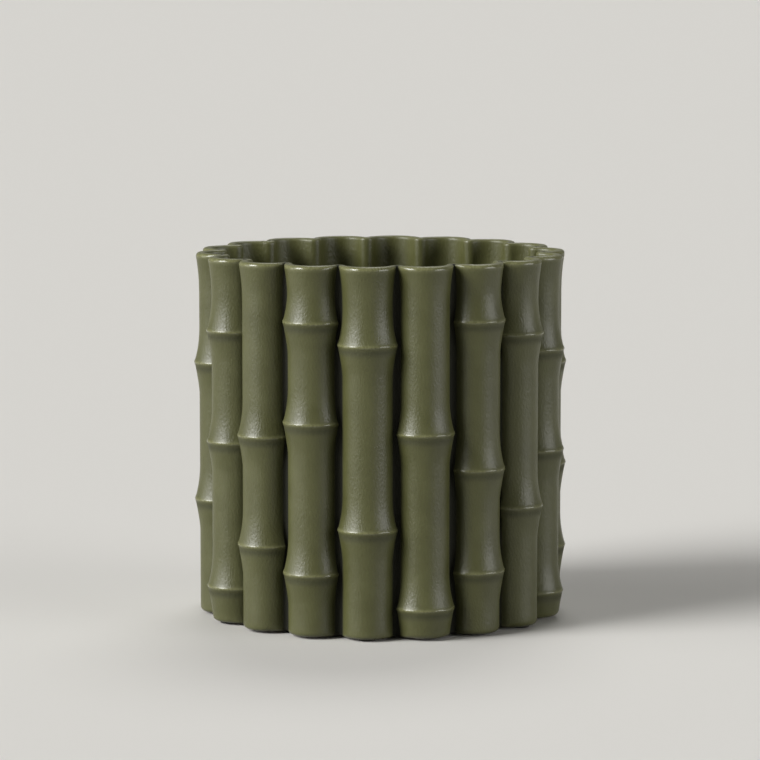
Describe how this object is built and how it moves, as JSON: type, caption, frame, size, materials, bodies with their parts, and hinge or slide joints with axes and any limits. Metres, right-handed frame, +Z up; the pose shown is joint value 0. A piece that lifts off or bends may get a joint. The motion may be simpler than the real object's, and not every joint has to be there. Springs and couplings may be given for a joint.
{
  "type": "bamboo planter",
  "caption": "Round planter with a wall of upright bamboo-shaped staves in satin olive glaze, a lobed inner floor and a lift-out drain stopper.",
  "frame": {"origin": "on the ground under the middle of the pot, at the underside of the foot pads", "axes": "+Z up along the pot's axis; the side that the picture shows faces -Y, with +X to its right"},
  "size_m": [0.1592, 0.1594, 0.156],
  "materials": {
    "olive_glaze": "satin olive glaze over cast stoneware",
    "stopper_rubber": "moulded dark rubber",
    "pad_felt": "pressed dark felt"
  },
  "bodies": {
    "pot": {"culm_01": "olive_glaze", "culm_02": "olive_glaze", "culm_03": "olive_glaze", "culm_04": "olive_glaze", "culm_05": "olive_glaze", "culm_06": "olive_glaze", "culm_07": "olive_glaze", "culm_08": "olive_glaze", "culm_09": "olive_glaze", "culm_10": "olive_glaze", "culm_11": "olive_glaze", "culm_12": "olive_glaze", "culm_13": "olive_glaze", "culm_14": "olive_glaze", "culm_15": "olive_glaze", "culm_16": "olive_glaze", "culm_17": "olive_glaze", "culm_18": "olive_glaze", "floor": "olive_glaze", "foot_pad_1": "pad_felt", "foot_pad_2": "pad_felt", "foot_pad_3": "pad_felt", "foot_pad_4": "pad_felt", "foot_pad_5": "pad_felt", "foot_pad_6": "pad_felt"},
    "stopper": {"drain_stopper": "stopper_rubber"}
  },
  "joints": [
    {"name": "stopper_lift", "type": "slide", "parent": "pot", "child": "stopper", "axis": [0, 0, 1], "range_m": [0, 0.157]}
  ]
}
